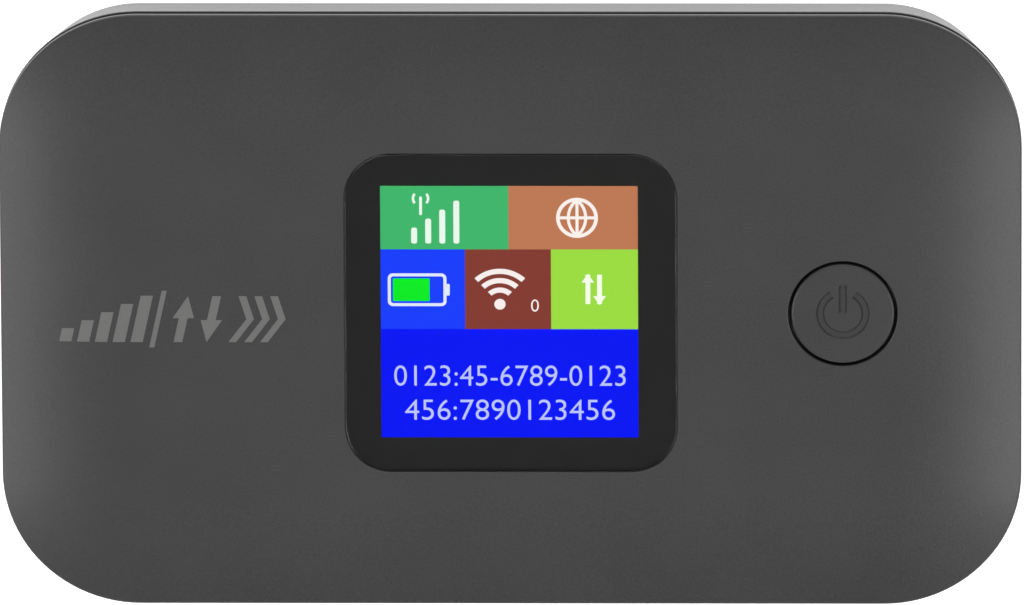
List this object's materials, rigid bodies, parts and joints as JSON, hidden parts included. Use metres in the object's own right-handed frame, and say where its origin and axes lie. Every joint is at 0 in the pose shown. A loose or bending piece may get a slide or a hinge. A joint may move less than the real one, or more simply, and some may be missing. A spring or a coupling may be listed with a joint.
{
  "type": "mobile hotspot",
  "caption": "Pocket wireless router: flat round-cornered box with a crowned face, a square display window, a round power key and a clip-off rear cover.",
  "frame": {"origin": "centre of the flat back, on the surface the object lies on", "axes": "+X along the long side towards the power key, +Y across the display towards its upper edge, +Z out of the display"},
  "size_m": [0.1, 0.0604, 0.014],
  "materials": {
    "shell_grey": "fine matt moulded texture, dark grey",
    "chassis_black": "matt moulded black",
    "lens_black": "clear gloss window, printed black from behind",
    "foam_black": "soft matt foam and tape",
    "display_glass": "polished laminated display glass",
    "plastic_white": "satin white moulding",
    "flex_amber": "amber polyimide film",
    "board_green": "satin solder mask",
    "shield_steel": "tin-plated stamped sheet",
    "screw_steel": "plated machine screw",
    "contact_gold": "gold-plated contact",
    "socket_black": "moulded black, satin",
    "pad_grey": "soft heat-conducting pad",
    "battery_wrap": "aluminium can under a satin dark wrap",
    "card_white": "satin white card"
  },
  "bodies": {
    "rear_cover": {"back_cover": "shell_grey"},
    "main_unit": {"front_cover": "shell_grey", "chassis": "chassis_black", "display_lens": "lens_black", "lens_tape": "foam_black", "display_foam": "foam_black", "display_glass": "display_glass", "display_backlight": "plastic_white", "display_flex": "flex_amber", "flex_connector": "socket_black", "main_board": "board_green", "modem_shield": "shield_steel", "wifi_shield": "shield_steel", "power_shield": "shield_steel", "heat_pad": "pad_grey", "modem_chip": "socket_black", "memory_chip": "socket_black", "wifi_chip": "socket_black", "power_chip": "socket_black", "antenna_main": "shield_steel", "antenna_diversity": "shield_steel", "antenna_wifi": "shield_steel", "power_switch": "socket_black", "reset_switch": "socket_black", "usb_shell": "shield_steel", "usb_tongue": "socket_black", "sim_socket": "shield_steel", "sim_base": "socket_black", "battery_connector": "socket_black", "battery_contact_1": "contact_gold", "battery_contact_2": "contact_gold", "battery_contact_3": "contact_gold", "chassis_screw_1": "screw_steel", "chassis_screw_2": "screw_steel", "chassis_screw_3": "screw_steel", "chassis_screw_4": "screw_steel", "chassis_screw_5": "screw_steel", "chassis_screw_6": "screw_steel"},
    "battery": {"battery_pack": "battery_wrap", "battery_pad_1": "contact_gold", "battery_pad_2": "contact_gold", "battery_pad_3": "contact_gold"},
    "sim": {"sim_card": "card_white"},
    "power_key": {"power_button": "shell_grey"},
    "power_plunger": {"power_plunger": "plastic_white"},
    "reset_key": {"reset_button": "chassis_black"},
    "reset_plunger": {"reset_plunger": "plastic_white"}
  },
  "joints": [
    {"name": "cover_release", "type": "slide", "parent": "rear_cover", "child": "main_unit", "axis": [0, 0, 1], "range_m": [0, 0.03]},
    {"name": "battery_release", "type": "slide", "parent": "main_unit", "child": "battery", "axis": [0, 0, -1], "range_m": [0, 0.015]},
    {"name": "sim_slide", "type": "slide", "parent": "main_unit", "child": "sim", "axis": [0, -1, 0], "range_m": [0, 0.01]},
    {"name": "power_press", "type": "slide", "parent": "main_unit", "child": "power_key", "axis": [0, 0, -1], "range_m": [0, 0.00035], "stiffness_N_per_m": 5000},
    {"name": "power_plunger_press", "type": "slide", "parent": "main_unit", "child": "power_plunger", "axis": [0, 0, -1], "range_m": [0, 0.00035]},
    {"name": "reset_press", "type": "slide", "parent": "main_unit", "child": "reset_key", "axis": [0, 0, 1], "range_m": [0, 0.0003], "stiffness_N_per_m": 5000},
    {"name": "reset_plunger_press", "type": "slide", "parent": "main_unit", "child": "reset_plunger", "axis": [0, 0, 1], "range_m": [0, 0.0003]}
  ],
  "couplings": [
    {"joint": "battery_release", "follows": "cover_release", "ratio": 0.5},
    {"joint": "power_plunger_press", "follows": "power_press", "ratio": 1},
    {"joint": "reset_plunger_press", "follows": "reset_press", "ratio": 1}
  ]
}
